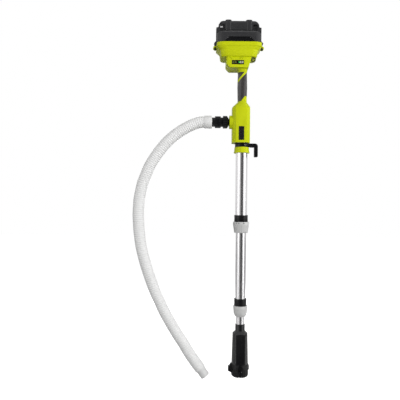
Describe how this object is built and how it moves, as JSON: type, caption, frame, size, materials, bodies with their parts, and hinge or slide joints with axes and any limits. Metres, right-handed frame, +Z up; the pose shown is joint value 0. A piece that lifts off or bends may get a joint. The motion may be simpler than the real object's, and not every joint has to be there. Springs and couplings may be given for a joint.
{
  "type": "telescoping pole pump",
  "caption": "Cordless transfer pump on a three-stage telescoping pole, with a battery head, a hanging hook, a ribbed outlet hose and a strainer foot.",
  "frame": {"origin": "middle of the hook's flat underside, where the pump hangs on a rim", "axes": "+Z up along the pole towards the battery head, -Y towards the front with the indicator window, -X towards the hose"},
  "size_m": [0.4146, 0.101, 1.1457],
  "materials": {
    "green_plastic": "fine moulded texture",
    "black_plastic": "fine moulded texture",
    "lid_plastic": "coarse moulded texture",
    "grip_rubber": "soft matt overmould",
    "lime_rubber": "soft matt overmould",
    "tube_aluminium": "satin anodised",
    "nut_plastic": "moulded, fluted",
    "hose_plastic": "ribbed, slightly glossy",
    "cuff_plastic": "moulded",
    "black_rubber": "plain",
    "steel": "plain",
    "brass": "plain",
    "board": "plain",
    "light": "clear lens",
    "window": "polished",
    "badge": "bare plate",
    "acetal": "turned",
    "impeller_plastic": "moulded"
  },
  "bodies": {
    "root": {"battery_tray": "green_plastic", "lid_gasket": "black_rubber", "lid_hinge_pins": "steel", "terminal_block": "black_plastic", "terminal_blades": "brass", "control_board": "board", "indicator_window": "window", "status_light": "light", "front_shell": "green_plastic", "rear_shell": "green_plastic", "shell_screws": "steel", "power_switch": "black_plastic", "lanyard_loop": "badge", "grip_sleeve": "grip_rubber", "grip_stripe": "lime_rubber", "badge_plate": "badge", "power_lead": "black_rubber", "outlet_manifold": "black_plastic", "lead_gland": "black_plastic", "port_flange": "green_plastic", "port_washer": "black_rubber", "hose_tail": "black_plastic", "near_cuff": "cuff_plastic", "hose": "hose_plastic", "end_cuff": "cuff_plastic", "hanging_hook": "black_plastic", "hook_screw": "steel", "lower_ring": "green_plastic", "upper_tube": "tube_aluminium", "upper_clamp_body": "black_plastic", "upper_collet": "acetal", "coiled_lead_upper": "black_rubber"},
    "lid": {"lid": "lid_plastic", "carry_handle": "lid_plastic", "latch_pin": "steel"},
    "latch": {"lid_latch": "lid_plastic"},
    "button": {"power_button": "black_rubber"},
    "coupler": {"coupler_nut": "black_plastic"},
    "upper_nut": {"upper_lock_nut": "nut_plastic"},
    "middle_stage": {"middle_tube": "tube_aluminium", "middle_piston": "acetal", "middle_seal": "black_rubber", "lower_clamp_body": "black_plastic", "lower_collet": "acetal", "coiled_lead_lower": "black_rubber"},
    "lower_nut": {"lower_lock_nut": "nut_plastic"},
    "lower_stage": {"lower_tube": "tube_aluminium", "lower_piston": "acetal", "lower_seal": "black_rubber", "tail_lead": "black_rubber", "pump_body": "black_plastic", "motor_can": "steel", "shaft_seal": "black_rubber", "diffuser": "black_plastic", "suction_plate": "black_plastic"},
    "rotor": {"motor_shaft": "steel", "impeller": "impeller_plastic"},
    "strainer": {"strainer": "black_plastic"}
  },
  "joints": [
    {"name": "lid_hinge", "type": "hinge", "parent": "root", "child": "lid", "pos_m": [-0.0455, 0.055, 0.3276], "axis": [-1, 0, 0], "range_deg": [0, 100]},
    {"name": "latch_hinge", "type": "hinge", "parent": "lid", "child": "latch", "pos_m": [-0.0455, -0.036, 0.3384], "axis": [-1, 0, 0], "range_deg": [0, 40]},
    {"name": "button_press", "type": "slide", "parent": "root", "child": "button", "axis": [0, -1, 0], "range_m": [0, 0.002], "stiffness_N_per_m": 600},
    {"name": "coupler_turn", "type": "hinge", "parent": "root", "child": "coupler", "pos_m": [-0.0825, 0, 0.08], "axis": [1, 0, 0], "continuous": true},
    {"name": "upper_twist", "type": "hinge", "parent": "root", "child": "upper_nut", "pos_m": [-0.0325, 0, -0.255], "axis": [0, 0, 1], "range_deg": [0, 35]},
    {"name": "middle_slide", "type": "slide", "parent": "root", "child": "middle_stage", "axis": [0, 0, 1], "range_m": [0, 0.205], "deforming": ["coiled_lead_upper"]},
    {"name": "lower_twist", "type": "hinge", "parent": "middle_stage", "child": "lower_nut", "pos_m": [-0.0325, 0, -0.523], "axis": [0, 0, 1], "range_deg": [0, 35]},
    {"name": "lower_slide", "type": "slide", "parent": "middle_stage", "child": "lower_stage", "axis": [0, 0, -1], "range_m": [0, 0.18], "deforming": ["coiled_lead_lower"]},
    {"name": "rotor_spin", "type": "hinge", "parent": "lower_stage", "child": "rotor", "pos_m": [-0.0325, 0, -0.68], "axis": [0, 0, 1], "continuous": true},
    {"name": "strainer_slide", "type": "slide", "parent": "lower_stage", "child": "strainer", "axis": [0, 0, -1], "range_m": [0, 0.03]}
  ]
}
